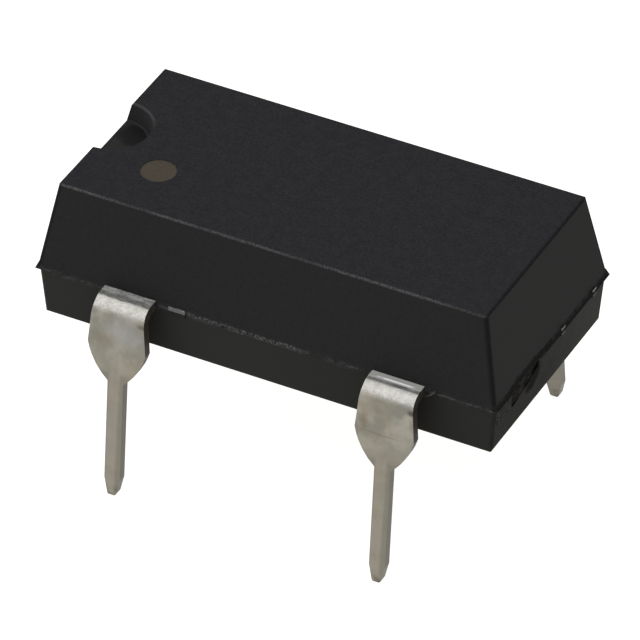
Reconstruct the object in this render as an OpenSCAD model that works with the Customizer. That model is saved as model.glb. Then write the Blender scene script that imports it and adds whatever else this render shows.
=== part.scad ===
// Four-lead moulded crystal oscillator, half-size package.
// Millimetres. Stands on its four lead tips at z = 0.
// X runs along the package, the notched end is at -X, lead 1 is at -X -Y.

/* [Package] */

// package length at the parting line
body_length = 13.04; // [12.6:0.02:13.4]
// package width at the parting line
body_width = 6.44; // [6.3:0.02:6.6]
// length of the flat top
top_length = 12.08; // [11.8:0.02:12.3]
// width of the flat top
top_width = 5.64; // [5.5:0.02:5.9]
// length of the flat underside
bottom_length = 12.74; // [12.5:0.02:12.8]
// width of the flat underside
bottom_width = 6.28; // [6.1:0.02:6.3]
// height of the upper mould half above the parting plane
upper_height = 2.58; // [2.3:0.01:2.8]
// depth of the lower mould half below the parting plane
lower_height = 1.4; // [1.3:0.01:1.6]
// radius of the upright edges of the upper mould half
upper_corner_radius = 0.09; // [0.05:0.01:0.3]
// radius of the upright edges of the lower mould half
lower_corner_radius = 0.14; // [0.08:0.01:0.3]
// set-back of the lower mould half at the parting line
lower_step = 0.03; // [0.01:0.01:0.05]
// radius of the edges round the top
top_edge_radius = 0.08; // [0.05:0.01:0.2]
// radius of the edges round the underside
bottom_edge_radius = 0.1; // [0.05:0.01:0.3]

/* [Mould traces] */

// reach of the flash past both ends
flash_end_reach = 0.04; // [0.03:0.01:0.12]
// reach of the flash past both long sides
flash_side_reach = 0.03; // [0.01:0.01:0.05]
// height over which the flash fades into the upper half
flash_rise = 0.2; // [0.12:0.01:0.3]
// radius of the notch at the top face
notch_top_radius = 1.06; // [0.9:0.02:1.2]
// radius of the notch at its floor
notch_floor_radius = 0.91; // [0.7:0.01:1.0]
// depth of the notch
notch_depth = 0.48; // [0.3:0.01:0.7]
// place across the right end where the gate scar starts
gate_start = -2.2; // [-2.3:0.02:-2.0]
// width of the gate scar
gate_width = 1.54; // [1.2:0.02:1.8]
// height of the gate scar
gate_height = 0.62; // [0.4:0.01:0.7]
// depth of the gate scar
gate_depth = 0.13; // [0.08:0.01:0.2]
// diameter of the ejector prints in the underside
ejector_diameter = 1.5; // [1:0.1:2]
// depth of the ejector prints
ejector_depth = 0.06; // [0.03:0.01:0.1]
// diameter of the first-lead dot on the top face
dot_diameter = 0.95; // [0.6:0.05:1.2]
// depth of the first-lead dot
dot_depth = 0.015; // [0.01:0.005:0.03]
// distance of the dot from the package middle, along the package
dot_x = 4.05; // [3.6:0.05:4.3]
// distance of the dot from the package middle, across the package
dot_y = 1.2; // [0.9:0.05:1.5]

/* [Leads] */

// distance between leads in a row
lead_pitch = 7.62; // [7.62:0.01:7.62]
// thickness of the lead frame sheet
sheet = 0.25; // [0.2:0.01:0.26]
// lead width where it leaves the package
lead_exit_width = 1.46; // [1.3:0.02:1.5]
// lead width at the shoulders
lead_shoulder_width = 1.66; // [1.56:0.02:1.8]
// width of the narrow lower part
lead_neck_width = 0.45; // [0.4:0.01:0.5]
// width of the blunt tip
lead_tip_width = 0.25; // [0.14:0.01:0.3]
// distance from the parting plane down to the tips
lead_drop = 5.41; // [5.0:0.01:6.0]
// distance from the parting plane down to the shoulders
shoulder_drop = 1.1; // [1.0:0.01:1.2]
// distance from the parting plane down to the neck
neck_drop = 2.09; // [2.05:0.01:2.2]
// angle at which the rounded shoulders begin
shoulder_angle = 13; // [8:1:18]
// length of the tapered tip
taper_length = 0.48; // [0.3:0.01:0.7]
// distance from the package middle to the start of the bend
bend_start = 3.41; // [3.38:0.01:3.5]
// outer radius of the bend
bend_radius = 0.52; // [0.45:0.01:0.6]
// outward splay of the legs
splay = 7.4; // [0:0.1:9]
// sideways lean of lead 1 at its tip
lean_1 = 0.1; // [0:0.01:0.15]
// sideways lean of lead 4 at its tip
lean_4 = 0.1; // [0:0.01:0.15]
// sideways kink of the rear right lead
kink = 0.76; // [0:0.01:0.8]

/* [Lead frame inside] */

// width of the frame fingers
finger_width = 0.45; // [0.4:0.01:0.48]
// width of the output finger beside the can
output_finger_width = 0.8; // [0.6:0.02:0.9]
// gap between neighbouring frame pieces
frame_gap = 0.3; // [0.26:0.01:0.32]
// gap between the closed end of the can and the output finger
can_gap = 0.4; // [0.3:0.02:0.5]
// free width of crystal pad a in front of the can
pad_a_free = 0.4; // [0.38:0.01:0.44]
// gap between the open end of the can and the crystal pads
pad_gap = 0.2; // [0.15:0.01:0.25]
// depth under the side wall at which a leg joins the flat frame
leg_depth = 0.3; // [0.25:0.01:0.34]
// length of the crystal pads under the wires
pad_length = 1.0; // [0.95:0.01:1.05]
// reach of a crystal pad past the wire on it
pad_margin = 0.18; // [0.14:0.01:0.2]
// margin of the ground paddle beside the die
paddle_side = 0.85; // [0.7:0.02:0.9]
// margin of the ground paddle behind the die
paddle_rim_back = 0.45; // [0.35:0.01:0.5]
// margin of the ground paddle in front of the die
paddle_rim_front = 0.65; // [0.6:0.01:0.7]
// width of the neck between lead 4 and the ground paddle
ground_neck = 0.7; // [0.6:0.01:0.74]
// gap between that neck and the output finger
output_gap = 0.6; // [0.5:0.02:0.7]
// gap between the can and the output lead behind it
arm_gap = 0.25; // [0.2:0.01:0.28]
// diameter of the mould lock holes
lock_hole = 0.5; // [0.3:0.02:0.6]
// width of the cut tie bar that shows on the front side
front_tie_width = 0.46; // [0.3:0.02:0.5]
// distance of that tie bar from the package middle
front_tie_x = 2.24; // [2.2:0.02:2.3]
// width of the tie bars that show on the ends
end_tie_width = 0.2; // [0.15:0.01:0.3]
// how far the cut tie bars end behind the edge of the flash
tie_setback = 0.02; // [0.01:0.01:0.04]
// place across the package of the end tie bar nearer the middle
inner_tie_y = 0.6; // [0.4:0.02:0.8]
// place across the package of the end tie bar nearer the rear corner
outer_tie_y = 2.4; // [2.2:0.02:2.5]

/* [Crystal] */

// outer diameter of the crystal can
can_diameter = 2.1; // [1.9:0.02:2.12]
// wall of the crystal can
can_wall = 0.13; // [0.1:0.01:0.15]
// distance of the open end of the can from the package middle
can_start = 2.3; // [2.2:0.02:2.4]
// place of the can axis across the package
can_y = 1.45; // [1.42:0.01:1.48]
// inner corner radius at the closed end
can_corner = 0.25; // [0.15:0.01:0.3]
// length of the header that closes the can
header_length = 0.75; // [0.6:0.01:0.8]
// inner diameter of the header ring
header_bore = 1.35; // [1.2:0.01:1.4]
// diameter of the crystal wires
crystal_wire = 0.2; // [0.16:0.01:0.22]
// distance between the two crystal wires
wire_spacing = 0.7; // [0.66:0.01:0.74]
// length of wire outside the can
wire_outside = 1.1; // [1.0:0.02:1.14]
// gap between the header and the quartz strip
blank_gap = 0.3; // [0.2:0.02:0.4]
// length of the quartz strip
blank_length = 4.5; // [4:0.05:4.8]
// width of the quartz strip
blank_width = 1.2; // [1.1:0.02:1.24]
// thickness of the quartz strip
blank_thickness = 0.16; // [0.12:0.01:0.18]
// free room between the quartz strip and the closed end
blank_end_gap = 0.52; // [0.4:0.02:0.6]
// gap between the crystal wires and the quartz strip, bridged by adhesive
blank_lift = 0.04; // [0.03:0.01:0.06]
// length of the electrodes
electrode_length = 2.4; // [2:0.05:2.6]
// width of the electrodes
electrode_width = 0.8; // [0.7:0.02:0.9]
// distance from the electrodes to the free end of the strip
electrode_margin = 0.8; // [0.6:0.02:1]
// width of the strips that lead to the electrodes
strip_width = 0.2; // [0.16:0.01:0.24]
// thickness of the electrode films
film = 0.01; // [0.01:0.005:0.02]
// length of an adhesive dab
dab_length = 0.4; // [0.3:0.01:0.45]
// distance from the held end of the quartz strip to the dabs
dab_inset = 0.05; // [0.04:0.01:0.08]
// width of an adhesive dab
dab_width = 0.28; // [0.24:0.01:0.32]

/* [Circuit] */

// place of the die along the package
die_x = 0.3; // [0.2:0.02:0.4]
// distance of the die in front of the package middle line
die_front = 1.2; // [1.16:0.01:1.24]
// length of the circuit die
die_length = 1.5; // [1.3:0.05:1.6]
// width of the circuit die
die_width = 1.1; // [1.0:0.05:1.2]
// thickness of the circuit die
die_thickness = 0.28; // [0.2:0.01:0.3]
// thickness of the die attach layer
attach_thickness = 0.02; // [0.02:0.005:0.03]
// how far the die attach spreads past the die
attach_spread = 0.05; // [0.03:0.01:0.08]
// distance of the bonding places from the die edges and finger ends
bond_inset = 0.15; // [0.12:0.01:0.2]
// diameter of the bond wires
bond_wire = 0.03; // [0.03:0.005:0.04]
// height of the bond loops above the die
loop_rise = 0.2; // [0.15:0.01:0.25]

/* [Hidden] */

$fn = 48;

// heights above the lead tips
parting_z = lead_drop;
top_z = parting_z + upper_height;
bottom_z = parting_z - lower_height;
sheet_top = parting_z + sheet / 2;
sheet_bottom = parting_z - sheet / 2;

half_l = body_length / 2;
half_w = body_width / 2;
half_pitch = lead_pitch / 2;
blade = lead_exit_width / 2;

// cut ends of the tie bars
tie_front = half_w + flash_side_reach - tie_setback;
tie_end = half_l + flash_end_reach - tie_setback;

// distance from the middle line at which a leg joins the sheet inside
root_y = half_w - leg_depth;

// crystal placing: its wires lie on top of the frame sheet
can_length = header_length + blank_gap + blank_length + blank_end_gap + can_wall;
can_x = -can_start;
can_end = can_x + can_length;
can_front = can_y - can_diameter / 2;
can_back = can_y + can_diameter / 2;
axis_z = sheet_top + crystal_wire / 2;
wire_a_y = can_y - wire_spacing / 2;
wire_b_y = can_y + wire_spacing / 2;
blank_x = can_x + header_length + blank_gap;
blank_z = axis_z + crystal_wire / 2 + blank_lift;
dab_x = blank_x + dab_inset;
wire_end = dab_x + dab_length + dab_inset;
electrode_x = blank_x + blank_length - electrode_margin - electrode_length;

// circuit placing
die_y = -die_front;
attach_top = sheet_top + attach_thickness;
die_top = attach_top + die_thickness;

// rows of the frame, from the can forwards: front edge of each finger
pad_a_row = can_front - pad_a_free;
pad_b_row = pad_a_row - frame_gap - finger_width;
supply_row = pad_b_row - frame_gap - finger_width;
lead_1_end = frame_gap - supply_row;
pad_b_back = wire_b_y + pad_margin;

// columns of the frame, from the can to the left: left edge of each finger
pad_end = can_x - pad_gap;
pad_a_left = pad_end - pad_length;
pad_b_left = pad_a_left - frame_gap - finger_width;
supply_left = pad_b_left - frame_gap - finger_width;

// ground paddle under the die, and the output finger to its right
paddle_left = die_x - die_length / 2 - paddle_side;
paddle_right = die_x + die_length / 2 + paddle_side;
paddle_back = die_y + die_width / 2 + paddle_rim_back;
paddle_front = die_y - die_width / 2 - paddle_rim_front;
output_x = can_end + can_gap;
output_left = paddle_right + can_gap;
output_right = output_x + output_finger_width;
neck_back = paddle_front + ground_neck;
output_row = neck_back + output_gap;

module package_body() {
  color([0.17, 0.17, 0.175])
  difference() {
    union() {
      moulded_shell();
      flash_wedge();
    }
    notch();
    gate_scar();
    ejector_prints();
    first_lead_dot();
    frame_and_inserts();
  }
}

// everything that the epoxy is moulded round
module frame_and_inserts() {
  lead_1_enable();
  lead_4_ground();
  lead_5_output();
  lead_8_supply();
  crystal_pad_a();
  crystal_pad_b();
  can_envelope();
  crystal_wire_a();
  crystal_wire_b();
  circuit_die();
  die_attach();
  bond_wire_enable();
  bond_wire_supply();
  bond_wire_output();
  bond_wire_ground();
  bond_wire_crystal_a();
  bond_wire_crystal_b();
}

module moulded_shell() {
  moulded_half([half_l, half_w], [top_length / 2, top_width / 2], upper_height,
               top_edge_radius, upper_corner_radius, 0);
  moulded_half([half_l - lower_step, half_w - lower_step], [bottom_length / 2, bottom_width / 2],
               lower_height, bottom_edge_radius, lower_corner_radius, 1);
}

// one mould half of height h; mid and flat: half its size at the parting plane and at its flat face
// r: radius round the flat face, corner: radius of the upright edges; under is 1 for the lower half
module moulded_half(mid, flat, h, r, corner, under) {
  translate([0, 0, parting_z])
    mirror([0, 0, under])
      difference() {
        intersection() {
          translate([0, body_width, 0])
            rotate([90, 0, 0])
              linear_extrude(height = 2 * body_width)
                drafted_outline(mid[0], flat[0], h, r);
          translate([-body_length, 0, 0])
            rotate([90, 0, 90])
              linear_extrude(height = 2 * body_length)
                drafted_outline(mid[1], flat[1], h, r);
        }
        for (x = [0, 1])
          for (y = [0, 1])
            mirror([x, 0, 0])
              mirror([0, y, 0])
                translate([mid[0], mid[1], 0])
                  upright_edge(flat - mid, h, corner);
      }
}

// drafted outline with rounded corners at its flat face, parting line at zero
module drafted_outline(mid, flat, h, r) {
  lean = atan2(mid - flat, h);
  cx = flat + (mid - flat) * r / h - r / cos(lean);
  tx = cx + r * cos(lean);
  tz = h - r + r * sin(lean);
  polygon([[-mid, 0], [mid, 0], [tx, tz], [cx, h], [-cx, h], [-tx, tz]]);
  for (s = [-1, 1])
    translate([s * cx, h - r])
      circle(r = r);
}

// rounding of the drafted upright edge at +X +Y; lean: how far it leans in over height h
module upright_edge(lean, h, r) {
  len = sqrt(lean[0] * lean[0] + lean[1] * lean[1] + h * h);
  turn = atan2(lean[1], lean[0]);
  rotate([0, 0, turn])
    rotate([0, acos(h / len), 0])
      rotate([0, 0, -turn])
        translate([0, 0, -r])
          linear_extrude(height = len + 2 * r)
            translate([-r, -r])
              difference() {
                square(3 * r);
                circle(r = r + 0.005);
              }
}

// flash on the parting line: flat underneath, fading into the walls of the upper half
module flash_wedge() {
  translate([0, 0, parting_z])
    intersection() {
      translate([0, body_width, 0])
        rotate([90, 0, 0])
          linear_extrude(height = 2 * body_width)
            wedge_outline(half_l, top_length / 2, flash_end_reach);
      translate([-body_length, 0, 0])
        rotate([90, 0, 90])
          linear_extrude(height = 2 * body_length)
            wedge_outline(half_w, top_width / 2, flash_side_reach);
    }
}

module wedge_outline(mid, flat, reach) {
  top = mid - (mid - flat) * flash_rise / upper_height - 0.01;
  polygon([[-mid - reach, 0], [mid + reach, 0], [top, flash_rise], [-top, flash_rise]]);
}

module notch() {
  translate([-top_length / 2, 0, top_z - notch_depth])
    cylinder(h = notch_depth + 0.001,
             r1 = notch_floor_radius, r2 = notch_top_radius);
}

// torn-off gate: a shallow hollow from the parting line down, at the right end
module gate_scar() {
  w = gate_width;
  h = gate_height;
  translate([half_l - gate_depth, gate_start, parting_z])
    rotate([90, 0, 90])
      linear_extrude(height = 1)
        polygon([[0.1 * w, 0.05], [0, -0.03], [0, -0.6 * h], [0.05 * w, -h], [0.22 * w, -0.95 * h],
                 [0.5 * w, -0.8 * h], [0.75 * w, -0.55 * h], [0.96 * w, -0.45 * h], [w, -0.25 * h],
                 [0.97 * w, 0.05]]);
}

module ejector_prints() {
  for (s = [-1, 1])
    translate([s * body_length * 0.32, 0, bottom_z - ejector_depth])
      cylinder(h = 2 * ejector_depth, d = ejector_diameter);
}

module first_lead_dot() {
  translate([-dot_x, -dot_y, top_z - dot_depth])
    cylinder(h = 1, d = dot_diameter);
}

// folded sheet seen from the package end, front row, parting line at zero
module leg_profile() {
  a = 90 - splay;
  inner = bend_radius - sheet;
  cy = sheet / 2 - bend_radius;
  far = 2 * bend_radius;
  leg = lead_drop + 0.5;
  // flat part inside the package
  translate([-bend_start, -sheet / 2])
    square([bend_start - root_y + 0.1, sheet]);
  // bend
  difference() {
    translate([-bend_start, cy])
      intersection() {
        circle(r = bend_radius);
        polygon([[0, 0], [0, far], [-far, far], [-far, far * cos(a) / sin(a)]]);
      }
    translate([-bend_start, cy])
      circle(r = inner);
  }
  // straight leg
  translate([-bend_start, cy])
    rotate([0, 0, -splay])
      translate([-bend_radius, -leg])
        square([sheet, leg]);
}

// lead outline seen from the front, parting line at zero, lead middle at x = 0
// aside: how far the outline is off the middle at the shoulders, at the neck and at the tip
module leg_outline(aside) {
  s = lead_shoulder_width / 2;
  n = lead_neck_width / 2;
  t = lead_tip_width / 2;
  zs = -shoulder_drop;
  zn = -neck_drop;
  zt = -lead_drop + taper_length;
  zb = -lead_drop;
  taper = aside[1] + (aside[2] - aside[1]) * (zn - zt) / (zn - zb);
  // exit part and blade
  polygon([[-blade, sheet], [blade, sheet], [blade, 0], [s + aside[0], zs],
           [-s + aside[0], zs], [-blade, 0]]);
  // rounded shoulders
  translate([aside[0], 0])
    shoulders(s, n, zs, zn, aside[1] - aside[0]);
  // neck and tapered tip, its corners cut unevenly
  polygon([[aside[1] - n, zn + 0.02], [aside[1] + n, zn + 0.02], [taper + n, zt],
           [aside[2] + t, zb + 0.05], [aside[2] + t - 0.04, zb], [aside[2] - t + 0.03, zb],
           [aside[2] - t, zb + 0.03], [taper - n, zt]]);
}

// offsets of a leg that leans evenly by lean at its tip
function leaning(lean) = [lean * shoulder_drop / lead_drop, lean * neck_drop / lead_drop, lean];

// rounded shoulders as the common part of two large circles
module shoulders(s, n, zs, zn, shift) {
  // end angle from the chord of the shoulder curve
  chord_r = atan2(s - n - shift, zs - zn);
  chord_l = atan2(s - n + shift, zs - zn);
  intersection() {
    translate([-half_pitch, zn])
      square([lead_pitch, zs - zn]);
    shoulder_circle(s, zs, s - n - shift, zs - zn, chord_r);
    mirror([1, 0])
      shoulder_circle(s, zs, s - n + shift, zs - zn, chord_l);
  }
}

module shoulder_circle(s, zs, run, drop, chord) {
  a = min(shoulder_angle, chord - 4);
  b = 2 * chord - a;
  r = sqrt(run * run + drop * drop) / (2 * sin((b - a) / 2));
  translate([s - r * cos(a), zs + r * sin(a)])
    circle(r = r, $fn = 200);
}

// front row leg, lead middle at x = 0
module front_leg(aside) {
  translate([0, 0, parting_z])
    intersection() {
      translate([-half_pitch, 0, 0])
        rotate([90, 0, 90])
          linear_extrude(height = lead_pitch)
            leg_profile();
      rotate([90, 0, 0])
        linear_extrude(height = body_width)
          leg_outline(aside);
    }
}

module frame_sheet(points) {
  translate([0, 0, sheet_bottom])
    linear_extrude(height = sheet)
      polygon(points);
}

module lock_hole_at(x, y) {
  translate([x, y, sheet_bottom - 0.1])
    cylinder(h = sheet + 0.2, d = lock_hole);
}

module lead_1_enable() {
  color([0.66, 0.65, 0.61]) {
    translate([-half_pitch, 0, 0])
      front_leg(leaning(lean_1));
    difference() {
      frame_sheet([[-half_pitch - blade, -root_y], [-half_pitch + blade, -root_y],
                   [-half_pitch + blade, -lead_1_end], [-half_pitch - blade, -lead_1_end]]);
      lock_hole_at(-half_pitch, -(root_y + lead_1_end) / 2);
    }
  }
}

module lead_4_ground() {
  tie = -front_tie_x;
  color([0.66, 0.65, 0.61]) {
    translate([half_pitch, 0, 0])
      front_leg(leaning(lean_4));
    difference() {
      frame_sheet([[half_pitch - blade, -root_y], [half_pitch + blade, -root_y],
                   [half_pitch + blade, neck_back], [paddle_right, neck_back],
                   [paddle_right, paddle_back], [paddle_left, paddle_back],
                   [paddle_left, paddle_front + frame_gap],
                   [tie - front_tie_width, paddle_front + frame_gap],
                   [tie - front_tie_width, -tie_front], [tie, -tie_front],
                   [tie, paddle_front], [half_pitch - blade, paddle_front]]);
      lock_hole_at(half_pitch, (neck_back - root_y) / 2);
    }
  }
}

module lead_5_output() {
  arm = can_back + arm_gap;
  color([0.66, 0.65, 0.61]) {
    mirror([0, 1, 0])
      translate([half_pitch, 0, 0])
        front_leg([0.3 * kink, kink, kink]);
    frame_sheet([[half_pitch - blade, root_y], [half_pitch - blade, arm], [output_x, arm],
                 [output_x, output_row + finger_width], [output_left, output_row + finger_width],
                 [output_left, output_row], [output_right, output_row], [output_right, arm],
                 [half_pitch + blade, root_y]]);
    end_tie(1, inner_tie_y, output_right);
    end_tie(1, outer_tie_y, output_right);
  }
}

module lead_8_supply() {
  arm = pad_b_back + frame_gap;
  supply_right = supply_left + finger_width;
  color([0.66, 0.65, 0.61]) {
    mirror([0, 1, 0])
      translate([-half_pitch, 0, 0])
        front_leg([0, 0, 0]);
    frame_sheet([[-half_pitch - blade, root_y], [supply_left, root_y - 0.4],
                 [supply_left, supply_row], [pad_end, supply_row],
                 [pad_end, supply_row + finger_width], [supply_right, supply_row + finger_width],
                 [supply_right, arm], [-half_pitch + blade, arm], [-half_pitch + blade, root_y]]);
    end_tie(-1, inner_tie_y, -supply_left);
  }
}

// tie bar from the frame to an end of the package
// side: 1 for the right end and -1 for the left, from: distance of the frame from the middle
module end_tie(side, y, from) {
  start = from - 0.05;
  translate([side > 0 ? start : -tie_end, y - end_tie_width / 2, sheet_bottom])
    cube([tie_end - start, end_tie_width, sheet]);
}

module crystal_pad_a() {
  left = pad_end - finger_width;
  color([0.66, 0.65, 0.61])
  frame_sheet([[pad_a_left, wire_a_y - pad_margin], [left, wire_a_y - pad_margin],
               [left, pad_a_row], [pad_end, pad_a_row], [pad_end, wire_a_y + pad_margin],
               [pad_a_left, wire_a_y + pad_margin]]);
}

module crystal_pad_b() {
  right = pad_b_left + finger_width;
  color([0.66, 0.65, 0.61])
  frame_sheet([[pad_b_left, pad_b_back], [pad_b_left, pad_b_row], [pad_end, pad_b_row],
               [pad_end, pad_b_row + finger_width], [right, pad_b_row + finger_width],
               [right, wire_b_y - pad_margin], [pad_end, wire_b_y - pad_margin],
               [pad_end, pad_b_back]]);
}

// outside of the closed can, without its hollow
module can_envelope() {
  translate([can_x, can_y, axis_z])
    rotate([0, 90, 0])
      rotate_extrude($fn = 96)
        can_half(can_diameter / 2, can_length, can_corner + can_wall);
}

// half section of a round body with a rounded far end, axis at x = 0
module can_half(r, h, c) {
  square([r, h - c]);
  square([r - c, h]);
  intersection() {
    translate([r - c, h - c])
      circle(r = c);
    square([r, h]);
  }
}

module crystal_can() {
  color([0.8, 0.79, 0.74])
  translate([can_x, can_y, axis_z])
    rotate([0, 90, 0])
      rotate_extrude($fn = 96)
        difference() {
          can_half(can_diameter / 2, can_length, can_corner + can_wall);
          translate([0, -can_wall])
            can_half(can_diameter / 2 - can_wall, can_length, can_corner);
        }
}

module crystal_header_ring() {
  color([0.72, 0.7, 0.64])
  translate([can_x, can_y, axis_z])
    rotate([0, 90, 0])
      difference() {
        cylinder(h = header_length, d = can_diameter - 2 * can_wall, $fn = 96);
        translate([0, 0, -header_length])
          cylinder(h = 3 * header_length, d = header_bore, $fn = 96);
      }
}

module crystal_glass_seal() {
  color([0.35, 0.45, 0.42])
  difference() {
    translate([can_x, can_y, axis_z])
      rotate([0, 90, 0])
        cylinder(h = header_length, d = header_bore, $fn = 96);
    crystal_wire_a();
    crystal_wire_b();
  }
}

module crystal_wire_at(y) {
  translate([can_x - wire_outside, y, axis_z])
    rotate([0, 90, 0])
      cylinder(h = wire_end - can_x + wire_outside, d = crystal_wire);
}

module crystal_wire_a() {
  color([0.75, 0.73, 0.68])
    crystal_wire_at(wire_a_y);
}

module crystal_wire_b() {
  color([0.75, 0.73, 0.68])
    crystal_wire_at(wire_b_y);
}

module quartz_blank() {
  color([0.85, 0.88, 0.9, 0.6])
  translate([blank_x, can_y - blank_width / 2, blank_z])
    cube([blank_length, blank_width, blank_thickness]);
}

// film on the upper face, led round the held end to the lower face
module electrode_top() {
  y = wire_b_y - 0.75 * strip_width;
  color([0.85, 0.7, 0.35]) {
    electrode_film(blank_z + blank_thickness);
    translate([blank_x - film, y, blank_z + blank_thickness])
      cube([electrode_x - blank_x + film + 0.1, strip_width, film]);
    translate([blank_x - film, y, blank_z - film])
      cube([film, strip_width, blank_thickness + 2 * film]);
    translate([blank_x - film, y, blank_z - film])
      cube([wire_end - blank_x + film, strip_width, film]);
  }
}

module electrode_bottom() {
  color([0.85, 0.7, 0.35]) {
    electrode_film(blank_z - film);
    translate([blank_x, wire_a_y - 0.25 * strip_width, blank_z - film])
      cube([electrode_x - blank_x + 0.1, strip_width, film]);
  }
}

module electrode_film(z) {
  translate([electrode_x, can_y - electrode_width / 2, z])
    cube([electrode_length, electrode_width, film]);
}

// saddle of conductive adhesive between a wire and the film above it
module adhesive_dab(y) {
  difference() {
    translate([dab_x, y - dab_width / 2, axis_z])
      cube([dab_length, dab_width, blank_z - film - axis_z]);
    crystal_wire_at(y);
  }
}

module adhesive_dab_a() {
  color([0.6, 0.6, 0.58])
    adhesive_dab(wire_a_y);
}

module adhesive_dab_b() {
  color([0.6, 0.6, 0.58])
    adhesive_dab(wire_b_y);
}

module die_attach() {
  l = die_length + 2 * attach_spread;
  w = die_width + 2 * attach_spread;
  color([0.6, 0.6, 0.58])
  translate([die_x - l / 2, die_y - w / 2, sheet_top])
    cube([l, w, attach_thickness]);
}

module circuit_die() {
  color([0.32, 0.33, 0.4])
  translate([die_x - die_length / 2, die_y - die_width / 2, attach_top])
    cube([die_length, die_width, die_thickness]);
}

// bonding place on the die: side is -1 for its left edge and 1 for its right edge,
// share runs from 0 at its front edge to 1 at its back edge
function die_pad(side, share) =
  [die_x + side * (die_length / 2 - bond_inset),
   die_y + (share - 0.5) * (die_width - 2 * bond_inset)];

// bonding place at the right end of a left-hand frame finger
function finger_pad(row) = [pad_end - 2 * bond_inset, row + finger_width / 2];

// gold wire from the die face to a frame pad: ball, loop and foot
// the loop is drawn in its own upright plane, starting over the ball
module bond_loop(from, to) {
  w = bond_wire / 2;
  run = norm(to - from);
  drop = die_top - sheet_top;
  ball = bond_wire;
  knee = 0.65 * run;
  knee_rise = loop_rise / 2;
  color([0.9, 0.75, 0.35])
  translate([from[0], from[1], die_top]) {
    cylinder(h = ball, r = 3 * w);
    rotate([0, 0, atan2(to[1] - from[1], to[0] - from[0])]) {
      rotate([90, 0, 0])
        translate([0, 0, -w])
          linear_extrude(height = bond_wire)
            polygon([[-w, ball / 2], [w, ball / 2], [w, loop_rise - bond_wire],
                     [knee, knee_rise], [run - 3 * w, ball / 2 - drop],
                     [run + 2 * w, ball / 2 - drop], [knee + bond_wire, knee_rise + bond_wire],
                     [w, loop_rise], [-w, loop_rise - w]]);
      translate([run, 0, -drop])
        cylinder(h = ball, r = 3 * w);
    }
  }
}

module bond_wire_enable() {
  bond_loop(die_pad(-1, 0), [-half_pitch + blade - 2 * bond_inset, -lead_1_end - bond_inset]);
}

module bond_wire_supply() {
  bond_loop(die_pad(-1, 0.37), finger_pad(supply_row));
}

module bond_wire_crystal_b() {
  bond_loop(die_pad(-1, 0.68), finger_pad(pad_b_row));
}

module bond_wire_crystal_a() {
  bond_loop(die_pad(-1, 1), finger_pad(pad_a_row));
}

module bond_wire_output() {
  bond_loop(die_pad(1, 0.75), [output_left + 2 * bond_inset, output_row + finger_width / 2]);
}

module bond_wire_ground() {
  bond_loop(die_pad(1, 0.12), [paddle_right - paddle_side / 2, die_y - die_width / 2]);
}

package_body();
lead_1_enable();
lead_4_ground();
lead_5_output();
lead_8_supply();
crystal_pad_a();
crystal_pad_b();
crystal_can();
crystal_header_ring();
crystal_glass_seal();
crystal_wire_a();
crystal_wire_b();
quartz_blank();
electrode_top();
electrode_bottom();
adhesive_dab_a();
adhesive_dab_b();
circuit_die();
die_attach();
bond_wire_enable();
bond_wire_supply();
bond_wire_output();
bond_wire_ground();
bond_wire_crystal_a();
bond_wire_crystal_b();
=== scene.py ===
import math

import bpy
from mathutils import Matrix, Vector, noise


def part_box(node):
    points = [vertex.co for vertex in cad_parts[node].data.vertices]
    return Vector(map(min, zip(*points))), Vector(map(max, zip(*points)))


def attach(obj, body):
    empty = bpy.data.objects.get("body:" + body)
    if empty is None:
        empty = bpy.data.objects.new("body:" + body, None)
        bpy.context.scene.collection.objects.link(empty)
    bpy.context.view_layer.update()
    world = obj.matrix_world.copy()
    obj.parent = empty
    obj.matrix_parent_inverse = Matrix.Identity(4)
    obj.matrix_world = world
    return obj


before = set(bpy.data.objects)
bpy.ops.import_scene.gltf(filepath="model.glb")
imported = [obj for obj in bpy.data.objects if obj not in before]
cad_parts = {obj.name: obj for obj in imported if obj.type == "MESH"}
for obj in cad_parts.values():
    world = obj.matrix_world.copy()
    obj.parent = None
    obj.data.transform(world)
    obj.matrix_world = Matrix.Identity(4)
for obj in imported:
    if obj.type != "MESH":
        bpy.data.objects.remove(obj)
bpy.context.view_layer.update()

# lengths are written in millimetres and turned into metres where a mesh or light is made
MM = 0.001

# the part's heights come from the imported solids, its other sizes repeat the source's
SHEET = 0.25
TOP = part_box("package_body")[1].z / MM
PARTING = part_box("lead_1_enable")[1].z / MM - SHEET / 2
HALF_LENGTH = 6.52
HALF_WIDTH = 3.22
TOP_HALF_LENGTH = 6.04
TOP_HALF_WIDTH = 2.82
END_SLOPE = (HALF_LENGTH - TOP_HALF_LENGTH) / (TOP - PARTING)
SIDE_SLOPE = (HALF_WIDTH - TOP_HALF_WIDTH) / (TOP - PARTING)
LOWER_STEP = 0.03
LOWER_SLOPE = 0.0857
NOTCH_RADIUS = 1.06
NOTCH_FLOOR = TOP - 0.48
GATE_Y = (-2.2, -0.66)
GATE_DEPTH = 0.13
TIE_MIDDLE = -2.47
TIE_HALF = 0.23
LEAD_X = 3.81
BLADE_HALF = 0.83
BEND_START = 3.41
BEND_RADIUS = 0.52
BEND_CENTRE_Z = PARTING + SHEET / 2 - BEND_RADIUS

# first-lead dot on the top face
DOT_PLACE = (-4.05, -1.2)
DOT_RADIUS = 0.475

# marks on the leads: x, height over the parting plane, half width, half height, softness, strength
COOL_PATCHES = ((-3.6, -0.6, 0.5, 0.36, 0.9, 0.6),)
TARNISH = ((3.24, -0.9, 0.08, 0.22, 0.9, 0.5), (-4.2, -0.9, 0.4, 0.16, 1.0, 0.2))
FLECKS = ((4.56, -0.26, 0.12, 0.07, 0.7, 0.8), (-3.1, -0.27, 0.12, 0.06, 0.8, 0.56))
CREASE_HEIGHT = -1.06

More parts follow.
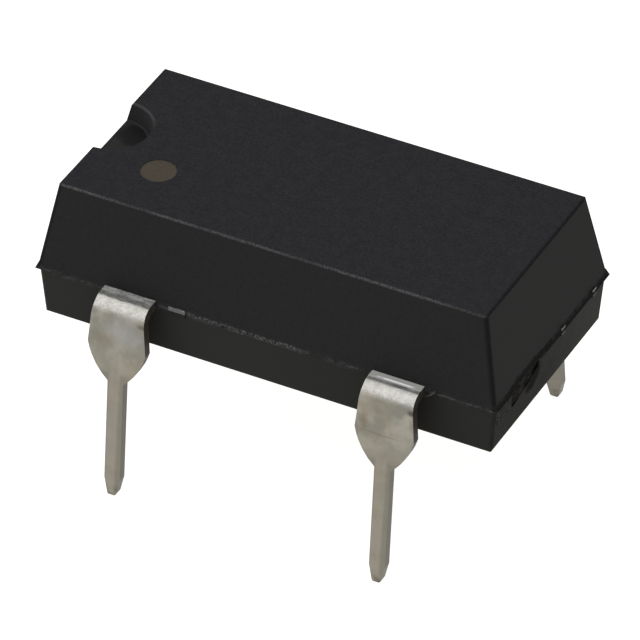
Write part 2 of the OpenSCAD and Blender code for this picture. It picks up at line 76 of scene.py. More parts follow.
# camera found by fitting the package's corners and leads in the photograph
CAMERA_PLACE = Vector((69.447, -133.798, 119.405))
CAMERA_AZIMUTH = math.radians(27.453)
CAMERA_ELEVATION = math.radians(37.475)
CAMERA_LENS = 417.61

# finish of each solid, by the start of its name
KINDS = {
    "package_body": "epoxy",
    "lead_": "tin",
    "crystal_pad": "tin",
    "crystal_wire": "can",
    "crystal_can": "can",
    "crystal_header": "can",
    "crystal_glass": "glass",
    "quartz": "quartz",
    "electrode": "gold",
    "bond_wire": "gold",
    "adhesive": "adhesive",
    "die_attach": "adhesive",
    "circuit_die": "silicon",
}


def shade(red, green, blue):
    """Linear colour of an sRGB shade given in 0 to 255."""
    return tuple((c / 255 / 12.92 if c < 11 else ((c / 255 + 0.055) / 1.055) ** 2.4)
                 for c in (red, green, blue)) + (1.0,)


class Paint:
    """Node graph of one material, measured in millimetres from the part's origin."""

    def __init__(self, name):
        self.material = bpy.data.materials.new(name)
        self.material.use_nodes = True
        self.tree = self.material.node_tree
        self.shader = self.tree.nodes["Principled BSDF"]
        self.colour = None
        where = self.node("ShaderNodeTexCoord").outputs["Object"]
        self.place = self.node("ShaderNodeMapping", Vector=where,
                               Scale=(1 / MM, 1 / MM, 1 / MM)).outputs["Vector"]
        self.x, self.y, self.z = self.node("ShaderNodeSeparateXYZ", Vector=self.place).outputs

    def node(self, kind, **inputs):
        """New node whose inputs are linked or set by name."""
        made = self.tree.nodes.new(kind)
        for name, value in inputs.items():
            self.put(made.inputs[name.replace("_", " ")], value)
        return made

    def put(self, socket, value):
        """Links a socket to another one, or sets its value."""
        if isinstance(value, bpy.types.NodeSocket):
            self.tree.links.new(value, socket)
        else:
            socket.default_value = value

    def math(self, operation, *values):
        made = self.tree.nodes.new("ShaderNodeMath")
        made.operation = operation
        for socket, value in zip(made.inputs, values):
            self.put(socket, value)
        return made.outputs[0]

    def chain(self, operation, values):
        """One operation run along all the values."""
        total = values[0]
        for value in values[1:]:
            total = self.math(operation, total, value)
        return total

    def add(self, *values):
        return self.chain("ADD", values)

    def minus(self, value, less):
        return self.math("SUBTRACT", value, less)

    def times(self, *values):
        return self.chain("MULTIPLY", values)

    def most(self, *values):
        return self.chain("MAXIMUM", values)

    def absolute(self, value):
        return self.math("ABSOLUTE", value)

    def rise(self, value, low, high):
        """0 below low, 1 above high, smooth between; falls where low is above high."""
        made = self.node("ShaderNodeMapRange", Value=value, From_Min=low, From_Max=high)
        made.interpolation_type = "SMOOTHSTEP"
        return made.outputs["Result"]

    def band(self, value, middle, half, soft):
        """1 within half of middle, fading out over soft."""
        return self.rise(self.absolute(self.minus(value, middle)), half + soft, half)

    def angle_band(self, value, middle, half, soft):
        """The same for an angle, with its limits in degrees."""
        return self.band(value, math.radians(middle), math.radians(half), math.radians(soft))

    def grain(self, scale, detail=2.0, roughness=0.5, stretch=(1, 1, 1)):
        """Noise from 0 to 1, with scale features to the millimetre."""
        at = self.place
        if stretch != (1, 1, 1):
            at = self.node("ShaderNodeMapping", Vector=at, Scale=stretch).outputs["Vector"]
        made = self.node("ShaderNodeTexNoise", Vector=at, Scale=scale, Detail=detail,
                         Roughness=roughness)
        return made.outputs["Fac"]

    def wobble(self, grain, width):
        """Noise as an offset of up to half of width to either side."""
        return self.times(self.minus(grain, 0.5), width)

    def distance(self, *pairs):
        """Distance from the point or line whose coordinates are given as (socket, value)."""
        squares = [self.math("POWER", self.absolute(self.minus(a, b)), 2.0) for a, b in pairs]
        return self.math("SQRT", self.add(*squares))

    def spot(self, x, z, wide, high, soft):
        """Oval patch on a face that looks along Y, ragged at its rim."""
        across = self.times(self.minus(self.x, x), 1 / wide)
        up = self.times(self.minus(self.z, z), 1 / high)
        away = self.distance((across, 0.0), (up, 0.0))
        ragged = self.add(away, self.times(self.grain(7, 2, 0.5), 0.5))
        return self.rise(ragged, 1.25 + soft, 1.25 - soft)

    def mix(self, share, under, over):
        """Colour between under and over."""
        made = self.node("ShaderNodeMix")
        made.data_type = "RGBA"
        colours = [s for s in made.inputs if s.type == "RGBA"]
        self.put(made.inputs["Factor"], share)
        self.put(colours[0], under)
        self.put(colours[1], over)
        return next(s for s in made.outputs if s.type == "RGBA")

    def lay(self, share, colour):
        """Lays a colour over what the paint has so far, as thickly as share says."""
        self.colour = self.mix(share, self.colour, colour)

    def lay_spots(self, spots, colour):
        """Lays a colour over the leads in the places of a list of marks."""
        shares = [self.times(self.spot(x, PARTING + up, wide, high, soft), strength)
                  for x, up, wide, high, soft, strength in spots]
        self.lay(self.most(*shares), colour)

    def bump(self, height, depth, strength=1.0):
        """Bump whose height of 1 stands depth millimetres proud."""
        return self.node("ShaderNodeBump", Height=height, Distance=depth * MM,
                         Strength=strength).outputs["Normal"]

    def finish(self, **inputs):
        """Sets or links the shader's inputs by name."""
        for name, value in inputs.items():
            self.put(self.shader.inputs[name.replace("_", " ")], value)
        return self.material


def lay_compound(p, fine, coarse, flat_top, lower, ends):
    """Ground tones of the moulding: neutral walls, a lower half painted paler and warmer as the floor's
    reflection and darker towards the right end, lower ends mottled and painted paler towards the back
    as the light they catch, and a bluish top.
    """
    p.colour = p.mix(p.rise(fine, 0.3, 0.7), shade(23, 23, 23), shade(27, 27, 27))
    # painted reflection of the bright floor: the lower half is paler and warmer
    p.lay(p.times(lower, 0.7), shade(32, 32, 30))
    p.lay(p.times(lower, p.rise(p.x, -2.0, 4.0), 0.3), shade(22, 22, 21))
    blotches = p.rise(p.add(p.times(fine, 0.5), p.times(coarse, 0.5)), 0.35, 0.65)
    mottled = p.mix(blotches, shade(23, 23, 22), shade(34, 34, 32))
    # painted light: the lower ends turn paler towards the back
    mottled = p.mix(p.times(p.rise(p.y, -0.5, 2.8), 0.65), mottled, shade(44, 44, 42))
    p.lay(p.times(lower, ends), mottled)
    specks = p.rise(p.add(p.times(fine, 0.7), p.times(coarse, 0.3)), 0.35, 0.65)
    p.lay(flat_top, p.mix(specks, shade(21, 21, 23), shade(30, 30, 32)))


def lay_notch(p, from_notch):
    """The notch is smoother and darker inside, with a painted shadow on its floor and a painted
    highlight along the foot of its back wall.
    """
    shadow_x, shadow_y = -5.62, 0.42
    foot_radius = 0.92
    inside = p.times(p.rise(p.z, TOP - 0.02, TOP - 0.06), p.rise(from_notch, 1.1, 1.07),
                     p.rise(p.z, NOTCH_FLOOR - 0.03, NOTCH_FLOOR - 0.01))
    shadow = p.add(p.distance((p.x, shadow_x), (p.y, shadow_y)),
                   p.times(p.grain(4, 2, 0.5), 0.2))
    floor_colour = p.mix(p.rise(shadow, 0.68, 0.42), shade(27, 27, 26), shade(12, 12, 12))
    floor = p.rise(p.z, NOTCH_FLOOR + 0.02, NOTCH_FLOOR + 0.005)
    # painted highlight along the foot of the notch's back wall
    at_foot = p.distance((from_notch, foot_radius), (p.z, NOTCH_FLOOR))
    foot_highlight = p.times(p.rise(at_foot, 0.05, 0.02), p.rise(p.y, 0.1, 0.4), 0.6)
    wall_and_floor = p.mix(floor, shade(23, 23, 23), floor_colour)
    p.lay(inside, p.mix(foot_highlight, wall_and_floor, shade(44, 44, 43)))


def lay_rubbed_edges(p, from_notch):
    """The long top edges, mostly the front one, are rubbed to grey; the notch's rear rim gets the same
    grey, partly rubbed and partly a painted highlight.
    """
    edge = p.distance((p.absolute(p.y), TOP_HALF_WIDTH + 0.005), (p.z, TOP - 0.025))
    dashes = p.rise(p.grain(22, 3, 0.75, (1, 0.6, 0.6)), 0.34, 0.6)
    stretches = p.add(0.5, p.times(p.rise(p.grain(0.42, 1, 0.5, (1, 0, 0)), 0.4, 0.55), 0.5))
    front = p.add(0.25, p.times(p.rise(p.y, 0.0, -1.0), 0.75))
    worn = p.times(p.rise(edge, 0.058, 0.018), dashes, stretches, front)
    # the notch's rear rim: partly wear, partly painted highlight
    rim = p.distance((from_notch, NOTCH_RADIUS), (p.z, TOP))
    worn_and_highlit_rim = p.times(p.rise(rim, 0.07, 0.02), p.rise(p.y, 0.3, 0.8), 0.45)
    p.lay(p.most(worn, worn_and_highlit_rim), shade(62, 62, 63))


def painted_dark_edges(p, rises, lean):
    """How far the upright edges and the top edges of the ends are painted dark, as the dark reflection
    their rounded edges catch.
    """
    upright = p.times(p.rise(p.z, PARTING + 0.05, PARTING + 0.2), p.rise(p.z, TOP, TOP - 0.05))
    inset = 0.03
    corner = p.distance((p.add(p.absolute(p.x), lean), HALF_LENGTH - inset),
                        (p.add(p.absolute(p.y), p.times(rises, SIDE_SLOPE)), HALF_WIDTH - inset))
    end_edge = p.distance((p.absolute(p.x), TOP_HALF_LENGTH + 0.01), (p.z, TOP - 0.03))
    # painted reflection: dark lines along the rounded edges
    return p.most(p.times(p.rise(corner, 0.13, 0.03), upright, 0.4),
                  p.times(p.rise(end_edge, 0.06, 0.03), 0.35))


def torn_and_shaded_line(p, ends):
    """The parting line of the ends is a ragged dark line that wanders up towards the gate: partly the
    rough surface where the flash broke off, partly painted shade under the flash's lip.
    """
    wander = p.add(p.times(p.band(p.y, -1.3, 0.7, 0.7), 0.09),
                   p.wobble(p.grain(3.5, 3, 0.6, (0, 1, 0)), 0.3))
    ragged = p.add(wander, p.wobble(p.grain(8, 4, 0.7), 0.26))
    # painted shade and torn surface along the parting line of the ends
    return p.times(ends, p.band(p.minus(p.z, ragged), PARTING + 0.03, 0.03, 0.09))


def gate_hollow_shade(p, ends):
    """Painted shade that reaches below the hollow of the gate, carrying its dark further down."""
    middle_y, middle_z, half_width, half_height = -0.95, PARTING - 0.42, 0.44, 0.42
    away = p.distance((p.times(p.minus(p.y, middle_y), 1 / half_width), 0.0),
                      (p.times(p.minus(p.z, middle_z), 1 / half_height), 0.0))
    patch = p.rise(p.add(away, p.times(p.grain(6, 3, 0.6), 0.8)), 1.5, 1.15)
    # painted shade below the gate hollow
    return p.times(patch, p.rise(p.x, 0.0, 0.1), ends, 0.62)


def lay_scuffs(p):
    """Pale line, fuzz and crumbs on the long sides along the parting line."""
    side = p.rise(p.absolute(p.y), HALF_WIDTH - 0.06, HALF_WIDTH - 0.03)
    height = p.minus(p.z, p.wobble(p.grain(2.2, 2, 0.6, (1, 0, 0)), 0.1))
    line = p.times(p.band(height, PARTING + 0.03, 0.012, 0.02),
                   p.rise(p.grain(5, 3, 0.7, (1, 0.2, 0.2)), 0.45, 0.6), 0.5)
    fuzz = p.times(p.band(height, PARTING - 0.01, 0.05, 0.09),
                   p.rise(p.grain(6, 4, 0.75, (1, 0.6, 0.6)), 0.42, 0.66), 0.32)
    p.lay(p.times(side, p.most(line, fuzz)), shade(64, 64, 64))
    crumbs = p.times(p.rise(p.grain(13, 3, 0.75), 0.46, 0.62),
                     p.band(height, PARTING, 0.06, 0.04), p.band(p.x, -0.7, 1.5, 0.6))
    p.lay(p.times(side, crumbs, 0.9), shade(74, 74, 74))


def lay_smeared_tin(p):
    """Shearing the front tie bar has smeared tin over the edge of the flash."""
    smear = p.times(p.band(p.x, TIE_MIDDLE, TIE_HALF, 0.01),
                    p.rise(p.y, -HALF_WIDTH - 0.005, -HALF_WIDTH - 0.015))
    p.lay(smear, shade(80, 79, 79))


def lay_dot(p):
    """Laser-cleared dot that marks the first lead."""
    from_dot = p.add(p.distance((p.x, DOT_PLACE[0]), (p.y, DOT_PLACE[1])),
                     p.wobble(p.grain(12, 2, 0.5), 0.06))
    dot = p.times(p.rise(from_dot, DOT_RADIUS + 0.01, DOT_RADIUS - 0.02),
                  p.rise(p.z, TOP - 0.05, TOP - 0.03), 0.95)
    p.lay(dot, p.mix(p.grain(14, 3, 0.6), shade(46, 41, 34), shade(64, 58, 49)))


def epoxy():
    """Black moulding compound: fine matte grain, worn edges, torn flash and the first-lead dot, with
    painted shade, reflection and highlights on its edges, notch, lower half and ends.
    """
    p = Paint("moulding_epoxy")
    fine = p.grain(13, 2, 0.6)
    coarse = p.grain(3.0, 3, 0.6)
    flat_top = p.rise(p.z, TOP - 0.06, TOP - 0.01)
    lower = p.rise(p.z, PARTING + 0.02, PARTING - 0.02)
    rises = p.minus(p.z, PARTING)
    lean = p.times(rises, END_SLOPE)
    drafted = p.add(p.absolute(p.x), p.most(lean, p.times(rises, -LOWER_SLOPE)))
    ends = p.rise(drafted, HALF_LENGTH - 0.1, HALF_LENGTH - 0.06)
    from_notch = p.distance((p.x, -TOP_HALF_LENGTH), (p.y, 0.0))

    lay_compound(p, fine, coarse, flat_top, lower, ends)
    lay_notch(p, from_notch)
    lay_rubbed_edges(p, from_notch)
    torn_and_shade = torn_and_shaded_line(p, ends)
    # painted dark: the edges' dark reflection, shade under the ends' flash and below the gate hollow,
    # with the torn surface of the parting line
    dark = p.most(painted_dark_edges(p, rises, lean), p.times(torn_and_shade, 0.55), gate_hollow_shade(p, ends))
    p.lay(dark, shade(8, 8, 8))
    lay_scuffs(p)
    lay_smeared_tin(p)
    lay_dot(p)

    roughness = p.add(0.5, p.times(fine, 0.15), p.times(flat_top, 0.1), p.times(dark, 0.2))
    height = p.add(p.times(fine, 0.6), p.times(coarse, 0.3), p.times(torn_and_shade, p.grain(9, 4, 0.7), 3.0))
    gloss = p.minus(0.06, p.times(ends, p.add(0.016, p.times(lower, 0.028))))
    gloss = p.times(gloss, p.minus(1.0, p.times(dark, 0.9)))
    return p.finish(Base_Color=p.colour, Roughness=roughness, Specular_IOR_Level=gloss,
                    Normal=p.bump(height, 0.008, 0.5))


def torn_epoxy(name, dark, light):
    """Broken surface of the same compound: rough, with paler crests."""
    p = Paint(name)
    crumb = p.grain(11, 4, 0.7)
    colour = p.mix(p.rise(crumb, 0.4, 0.65), shade(*dark), shade(*light))
    return p.finish(Base_Color=colour, Roughness=p.add(0.6, p.times(crumb, 0.3)),
                    Specular_IOR_Level=0.015, Normal=p.bump(crumb, 0.03, 0.8))


def lay_tin(p, speckle, cloud, streak):
    """Tin tones: bluish grey below the bend, warmer and browner towards the front tips."""
    p.colour = p.mix(p.rise(cloud, 0.38, 0.62), shade(121, 120, 112), shade(146, 143, 134))
    p.lay(p.times(p.rise(p.grain(1.9, 2, 0.5), 0.45, 0.75), 0.6), shade(140, 131, 114))
    khaki = p.times(p.rise(p.z, PARTING - 0.7, PARTING - 2.2),
                    p.add(0.3, p.times(p.rise(p.y, 1.0, 0.0), 0.5)))
    p.lay(khaki, shade(135, 131, 120))
    p.lay(p.times(p.rise(streak, 0.5, 0.8), 0.35), shade(112, 108, 96))
    smears = p.grain(2.4, 4, 0.65, (0.35, 1, 1))
    p.lay(p.times(p.rise(smears, 0.48, 0.72), 0.4), shade(118, 114, 98))
    p.lay(p.times(p.rise(speckle, 0.55, 0.75), 0.15), shade(112, 110, 104))


def lay_bend(p, bend, level, specks, speckle):
    """The bend is brightly stretched with faint pits; the flat exit is dull, with grime on lead 1."""
    blotch = p.add(p.times(speckle, 0.6), p.times(p.grain(5, 3, 0.6), 0.4))
    stretched = p.mix(p.rise(blotch, 0.35, 0.68), shade(148, 146, 141), shade(122, 120, 115))
    p.lay(p.times(bend, 0.9), stretched)
    grime = p.times(p.rise(specks, 0.4, 0.6), p.rise(p.x, 0.1, -0.1))
    p.lay(level, p.mix(grime, shade(142, 141, 138), shade(92, 92, 91)))


def lay_tool_line(p, depth, angle, swept, bent, specks):
    """The forming tool leaves a dark line across the start of the bend, sharpest on lead 4; across lead
    4's flat exit a bright streak is partly burnish and partly a painted highlight.
    """
    right = p.rise(p.x, -0.1, 0.1)
    marked = p.times(bent, p.rise(depth, BEND_START - 0.03, BEND_START))
    soft_line = p.times(p.angle_band(swept, 7, 6, 5), marked, 0.5)
    sharp_line = p.times(p.angle_band(angle, 9, 4, 3), marked,
                         p.add(0.5, p.times(p.rise(specks, 0.4, 0.6), 0.4)))
    tool_line = p.add(p.times(right, sharp_line), p.times(p.minus(1.0, right), soft_line))
    p.lay(tool_line, shade(64, 63, 61))
    # bright streak on lead 4's flat exit: partly burnish, partly painted highlight
    burnish_and_highlight = p.times(p.band(depth, BEND_START - 0.035, 0.018, 0.025), right,
                    p.band(p.x, LEAD_X, 0.35, 0.25),
                    p.rise(p.grain(7, 3, 0.6, (1, 0.4, 0)), 0.3, 0.5), 0.9)
    p.lay(burnish_and_highlight, shade(214, 214, 212))
    return tool_line


def lay_crease(p):
    """Faint crease across the blade of lead 4."""
    height = p.add(p.z, p.times(p.x, 0.02))
    crease = p.times(p.band(height, PARTING + CREASE_HEIGHT, 0.01, 0.03),
                     p.rise(p.x, 3.0, 3.5), p.rise(p.x, 4.5, 3.9), 0.28)
    p.lay(crease, shade(88, 80, 64))
    return crease


def lay_cut_edges(p):
    """Cut edges show a darker core, deepened with painted shade for the dark they reflect; the shafts'
    side edges get painted shade for their rounding and the feet turn darker and mottled; gives where
    the cut is too dull for metal.
    """
    normal = p.node("ShaderNodeTexCoord").outputs["Normal"]
    across = p.absolute(p.node("ShaderNodeSeparateXYZ", Vector=normal).outputs["X"])
    cut = p.times(p.rise(across, 0.45, 0.75), p.rise(p.z, PARTING + 0.2, PARTING + 0.1))
    shaft = p.rise(p.z, PARTING - 1.75, PARTING - 1.95)
    # cut faces: bare core, darkened with painted shade for the dark they reflect
    p.lay(p.times(cut, 0.95), p.mix(shaft, shade(43, 39, 34), shade(84, 82, 74)))
    # painted shade along the side edges of the shafts, for their rounding
    aside = p.absolute(p.minus(p.absolute(p.x), LEAD_X))
    p.lay(p.times(p.rise(aside, 0.1, 0.22), shaft, 0.45), shade(98, 95, 86))
    tips = p.times(p.rise(p.z, 0.4, 0.05), p.rise(p.grain(6, 3, 0.6), 0.4, 0.62), 0.6)
    p.lay(tips, shade(66, 62, 54))
    return p.times(cut, p.minus(1.0, shaft))


def lay_tie_bars(p, depth):
    """Cut tie bars are dull grey, with the epoxy's tone laid over them from below and above: epoxy
    dragged over them, and below the parting plane also painted shade under the flash's lip.
    """
    end_tie = p.rise(p.absolute(p.x), HALF_LENGTH - 0.04, HALF_LENGTH - 0.03)
    front_tie = p.times(p.rise(depth, BEND_START - 0.15, BEND_START - 0.17),
                        p.rise(depth, HALF_WIDTH - 0.03, HALF_WIDTH - 0.01),
                        p.band(p.x, TIE_MIDDLE, TIE_HALF + 0.01, 0.02))
    sheared = p.most(end_tie, front_tie)
    p.lay(sheared, p.mix(p.rise(p.grain(8, 3, 0.6), 0.42, 0.6),
                         shade(106, 105, 105), shade(78, 77, 77)))
    ragged = p.add(p.z, p.wobble(p.grain(9, 3, 0.7), 0.1))
    covered_and_shaded = p.most(p.rise(ragged, PARTING, PARTING - 0.03),
                     p.rise(ragged, PARTING + 0.1, PARTING + 0.12),
                     p.times(end_tie, p.rise(ragged, PARTING + 0.03, PARTING + 0.01)))
    # epoxy tone over the bars: dragged epoxy, and below the parting plane painted shade under the
    # flash's lip
    p.lay(p.times(sheared, covered_and_shaded), shade(27, 27, 26))
    return sheared


def tin_plate():
    """Matte tin on the leads: speckled bend, warm blotches, khaki neck and tool marks, with painted
    shade on the cut and side edges and a painted highlight on lead 4.
    """
    p = Paint("tin_plate")
    speckle = p.grain(17, 3, 0.75)
    cloud = p.grain(1.5, 3, 0.55)
    streak = p.grain(5, 3, 0.6, (1, 1, 0.25))
    specks = p.add(p.times(p.grain(6, 4, 0.7, (0.4, 1.5, 1)), 0.55), p.times(speckle, 0.45))
    depth = p.absolute(p.y)
    angle = p.math("ARCTAN2", p.minus(depth, BEND_START), p.minus(p.z, BEND_CENTRE_Z))
    swept = p.add(angle, p.wobble(p.grain(4, 2, 0.5, (1, 0, 0)), 0.2))
    bent = p.rise(p.z, BEND_CENTRE_Z - 0.1, BEND_CENTRE_Z + 0.02)
    bend = p.times(p.angle_band(swept, 35, 17, 9), bent)
    upper_face = PARTING + SHEET / 2
    level = p.times(p.rise(p.z, upper_face - 0.05, upper_face - 0.02),
                    p.rise(angle, math.radians(22), math.radians(10)))

    lay_tin(p, speckle, cloud, streak)
    lay_bend(p, bend, level, specks, speckle)
    tool_line = lay_tool_line(p, depth, angle, swept, bent, specks)
    crease = lay_crease(p)
    p.lay_spots(COOL_PATCHES, shade(136, 137, 136))
    p.lay_spots(TARNISH, shade(100, 84, 56))
    p.lay_spots(FLECKS, shade(60, 58, 54))
    dull_cut = lay_cut_edges(p)
    sheared = lay_tie_bars(p, depth)

    roughness = p.add(0.3, p.times(cloud, 0.1), p.times(speckle, 0.1))
    height = p.add(p.times(speckle, p.add(0.2, p.times(bend, 0.8))), p.times(cloud, 0.8),
                   p.times(streak, 0.6), p.times(p.add(crease, tool_line), -2.0))
    bare = p.minus(1.0, p.most(sheared, p.times(level, 0.8), p.times(dull_cut, 0.85)))
    return p.finish(Base_Color=p.colour, Metallic=bare, Roughness=roughness,
                    Specular_IOR_Level=0.06, Normal=p.bump(height, 0.01, 0.5))


def inner_finish(name, dark, light, scale, roughness, metallic=0.0):
    """Plain two-tone finish of a piece that the moulding hides."""
    p = Paint(name)
    grain = p.grain(scale, 3, 0.6)
    return p.finish(Base_Color=p.mix(grain, shade(*dark), shade(*light)), Metallic=metallic,
                    Roughness=p.add(roughness, p.times(grain, 0.15)),
                    Normal=p.bump(grain, 0.004, 0.4))


def dress(materials):
    """Gives each solid of the part the finish of its kind, and the leads softened edges."""
    for name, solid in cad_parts.items():
        kind = next(k for k in KINDS if name.startswith(k))
        solid.data.materials.clear()
        solid.data.materials.append(materials[KINDS[kind]])
        if kind == "lead_":
            soften = solid.modifiers.new("rounded_edges", "BEVEL")
            soften.width = 0.03 * MM
            soften.segments = 2
            soften.limit_method = "ANGLE"
            soften.angle_limit = math.radians(50)


def make_piece(name, points, faces, material):
    """Mesh piece of the moulding, from points in millimetres."""
    mesh = bpy.data.meshes.new(name)
    mesh.from_pydata([Vector(point) * MM for point in points], [], faces)
    mesh.materials.append(material)
    piece = bpy.data.objects.new(name, mesh)
    bpy.context.scene.collection.objects.link(piece)
    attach(piece, "root")
    return piece


def rough(x, y, z, scale, octaves=4):
    """Fractal noise, about -1 to 1."""
    return noise.fractal(Vector((x, y, z)) * scale, 0.8, 2.0, octaves)


def flash_fringe(name, start, end, reach, seed, material):
    """Ragged sliver of flash along the front parting line, sunk into the wedge where it broke off."""
    points, faces = [], []
    step = 0.025
    count = max(3, int((end - start) / step))
    root = -HALF_WIDTH + 0.01
    for i in range(count + 1):
        x = start + (end - start) * i / count
        fade = min(1.0, 6 * i / count, 6 * (count - i) / count)
        teeth = reach * (0.25 + 1.2 * rough(x, seed, 0.0, 3.0)) * fade
        out = max(-0.02, min(teeth + 0.02 * rough(x, seed, 3.0, 14.0), 1.6 * reach))
        thick = 0.012 + 0.25 * max(out, 0.0)
        middle = PARTING + 0.02 + 0.03 * rough(x, seed, 7.0, 2.0)
        points += [(x, root, middle + thick), (x, root - 0.03 - out, middle), (x, root, middle - thick)]
        if i:
            a, b = 3 * (i - 1), 3 * i
            faces += [(a, b, b + 1, a + 1), (a + 1, b + 1, b + 2, a + 2), (a + 2, b + 2, b, a)]
    faces += [(0, 1, 2), (3 * count, 3 * count + 2, 3 * count + 1)]
    return make_piece(name, points, faces, material)


def torn_patch(name, y_range, z_range, surface, steps, material):
    """Broken skin over part of the right end; surface(y, z, u, v) gives its x."""
    points, faces = [], []
    columns, rows = steps
    for j in range(rows + 1):
        for i in range(columns + 1):
            u, v = i / columns, j / rows
            y = y_range[0] + (y_range[1] - y_range[0]) * u
            z = z_range[0] + (z_range[1] - z_range[0]) * v
            points.append((surface(y, z, u, v), y, PARTING + z))
            if i and j:
                k = j * (columns + 1) + i
                faces.append((k, k - 1, k - columns - 2, k - columns - 1))
    piece = make_piece(name, points, faces, material)
    piece.data.polygons.foreach_set("use_smooth", [True] * len(faces))
    return piece


def rim_distance(u, v):
    """0 at the border of the unit square and 1 well inside it."""
    return min(1.0, 7 * min(u, 1 - u), 5 * min(v, 1 - v))


def gate_surface(y, z, u, v):
    """Bottom of the gate hollow, broken in steps and crumbs."""
    bottom = HALF_LENGTH - GATE_DEPTH
    crumbs = 0.05 * rough(0.0, y, z, 3.2, 5) + 0.025 * abs(rough(5.0, y, z, 9.0))
    ledge = 0.06 * max(0.0, 1 - 3.2 * u) * (0.6 + 0.6 * rough(9.0, y, z, 4.0))
    return bottom - 0.03 + (0.05 + crumbs + ledge) * rim_distance(u, v)


def flash_surface(y, z, u, v):
    """Thin skin of flash on the lower half beside the gate, with a torn outline."""
    wall = HALF_LENGTH - LOWER_STEP + z * LOWER_SLOPE
    skin = 0.035 * (rim_distance(u, v) - 0.35 + 0.5 * rough(2.0, y, z, 3.0))
    return wall + min(0.022, skin) + 0.006 * rough(4.0, y, z, 12.0)


def make_whisker(material):
    """Loose sliver of flash that stands off beside the bend of lead 4."""
    foot_highlight = Vector((4.86, -3.235, PARTING + 0.06))
    tip = Vector((4.6, -3.33, PARTING - 0.1))
    steps = 8
    points, faces = [], []
    for i in range(steps + 1):
        share = i / steps
        half = 0.042 * (1 - share) + 0.014 + 0.008 * rough(share, 1.0, 2.0, 5.0)
        middle = foot_highlight.lerp(tip, share) + Vector((0, 0, 0.02 * rough(share, 4.0, 0.0, 3.0)))
        points += [middle + Vector((0, 0, half)), middle + Vector((0.4 * half, -half, 0)),
                   middle - Vector((0, 0, half)), middle + Vector((0, 0.5 * half, 0))]
        if i:
            a, b = 4 * (i - 1), 4 * i
            faces += [(a + k, b + k, b + (k + 1) % 4, a + (k + 1) % 4) for k in range(4)]
    last = 4 * steps
    faces += [(0, 1, 2, 3), (last + 3, last + 2, last + 1, last)]
    return make_piece("flash_whisker", points, faces, material)


def make_flash(grey, pale, rubble):
    """Torn flash and gate, in the places where the photograph shows them."""
    end = 6.35
    inner_side = LEAD_X - BLADE_HALF - 0.02
    outer_side = LEAD_X + BLADE_HALF + 0.02
    beside_tie = TIE_MIDDLE + TIE_HALF + 0.01
    flash_fringe("flash_left", -end, -outer_side, reach=0.02, seed=1.0, material=grey)
    flash_fringe("flash_tie", beside_tie, -0.9, reach=0.05, seed=2.3, material=grey)
    flash_fringe("flash_middle", -0.95, inner_side, reach=0.028, seed=4.1, material=grey)
    flash_fringe("flash_right", outer_side, end, reach=0.014, seed=6.7, material=grey)
    make_whisker(pale)
    torn_patch("torn_gate", y_range=GATE_Y, z_range=(-0.66, 0.04), surface=gate_surface,
               steps=(70, 34), material=rubble)
    torn_patch("flash_skin", y_range=(-3.1, -2.24), z_range=(-0.7, -0.01),
               surface=flash_surface, steps=(44, 34), material=grey)


def make_floor(size):
    """Pale luminous paper under the part, clear when seen from below."""
    mesh = bpy.data.meshes.new("studio_floor")
    mesh.from_pydata([(-size, -size, 0), (size, -size, 0), (size, size, 0), (-size, size, 0)],
                     [], [(0, 1, 2, 3)])
    floor = bpy.data.objects.new("studio_floor", mesh)
    bpy.context.scene.collection.objects.link(floor)
    p = Paint("floor_paper")
    tone = p.mix(p.grain(0.02, 2, 0.5), (0.2, 0.197, 0.19, 1), (0.22, 0.215, 0.21, 1))
    material = p.finish(Base_Color=tone, Roughness=0.9, Specular_IOR_Level=0.0,
                        Emission_Color=(1.0, 0.98, 0.95, 1.0), Emission_Strength=0.94)
    facing = p.node("ShaderNodeNewGeometry").outputs["Backfacing"]
    clear = p.node("ShaderNodeBsdfTransparent").outputs["BSDF"]
    both = p.node("ShaderNodeMixShader")
    p.put(both.inputs["Fac"], facing)
    p.put(both.inputs[1], p.shader.outputs["BSDF"])
    p.put(both.inputs[2], clear)
    p.put(p.tree.nodes["Material Output"].inputs["Surface"], both.outputs[0])
    mesh.materials.append(material)


def make_world(strength, colour):
    """Even light from all round."""
    world = bpy.data.worlds.new("studio")
    world.use_nodes = True
    background = world.node_tree.nodes["Background"]
    background.inputs["Color"].default_value = colour
    background.inputs["Strength"].default_value = strength
    bpy.context.scene.world = world


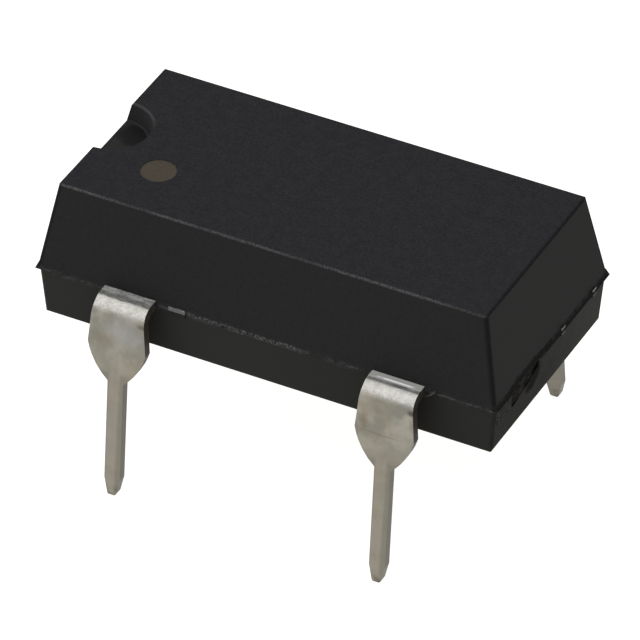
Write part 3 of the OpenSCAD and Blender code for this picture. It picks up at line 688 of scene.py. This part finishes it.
def make_softbox(name, direction, distance, size, radiance, colour):
    """Square area light that looks at the part from the given direction, in metres."""
    data = bpy.data.lights.new(name, "AREA")
    data.shape = "SQUARE"
    data.size = size
    data.energy = radiance * math.pi * size * size
    data.color = colour
    light = bpy.data.objects.new(name, data)
    light.location = Vector(direction).normalized() * distance
    light.rotation_euler = (-Vector(direction)).to_track_quat("-Z", "Y").to_euler()
    bpy.context.scene.collection.objects.link(light)


def make_camera():
    """The photograph's camera."""
    data = bpy.data.cameras.new("camera")
    data.sensor_width = 36
    data.lens = CAMERA_LENS
    data.clip_start = 0.005
    data.clip_end = 20
    camera = bpy.data.objects.new("camera", data)
    a, e = CAMERA_AZIMUTH, CAMERA_ELEVATION
    forward = Vector((-math.sin(a) * math.cos(e), math.cos(a) * math.cos(e), -math.sin(e)))
    camera.location = CAMERA_PLACE * MM
    camera.rotation_euler = forward.to_track_quat("-Z", "Y").to_euler()
    bpy.context.scene.collection.objects.link(camera)
    bpy.context.scene.camera = camera


make_camera()
make_floor(size=3.0)
make_world(strength=0.88, colour=(0.985, 0.99, 1.0, 1.0))
make_softbox("main_softbox", direction=(-0.47, -0.30, 0.83), distance=0.8, size=1.25,
             radiance=2.1, colour=(0.97, 0.985, 1.0))
bpy.context.scene.view_settings.view_transform = "Standard"

dress({
    "epoxy": epoxy(),
    "tin": tin_plate(),
    "can": inner_finish("can_metal", (190, 187, 176), (214, 211, 200), 6, 0.3, 0.9),
    "glass": inner_finish("seal_glass", (60, 84, 76), (88, 112, 102), 4, 0.15),
    "quartz": inner_finish("quartz", (196, 202, 206), (226, 231, 235), 3, 0.1),
    "gold": inner_finish("gold", (214, 170, 84), (236, 196, 110), 8, 0.25, 0.95),
    "adhesive": inner_finish("adhesive", (138, 138, 134), (166, 166, 160), 12, 0.6),
    "silicon": inner_finish("silicon", (66, 68, 84), (92, 96, 116), 5, 0.2, 0.3),
})
make_flash(torn_epoxy("torn_flash", (26, 26, 26), (54, 54, 53)),
           torn_epoxy("pale_flash", (36, 35, 32), (60, 58, 54)),
           torn_epoxy("torn_gate", (22, 21, 19), (42, 40, 37)))
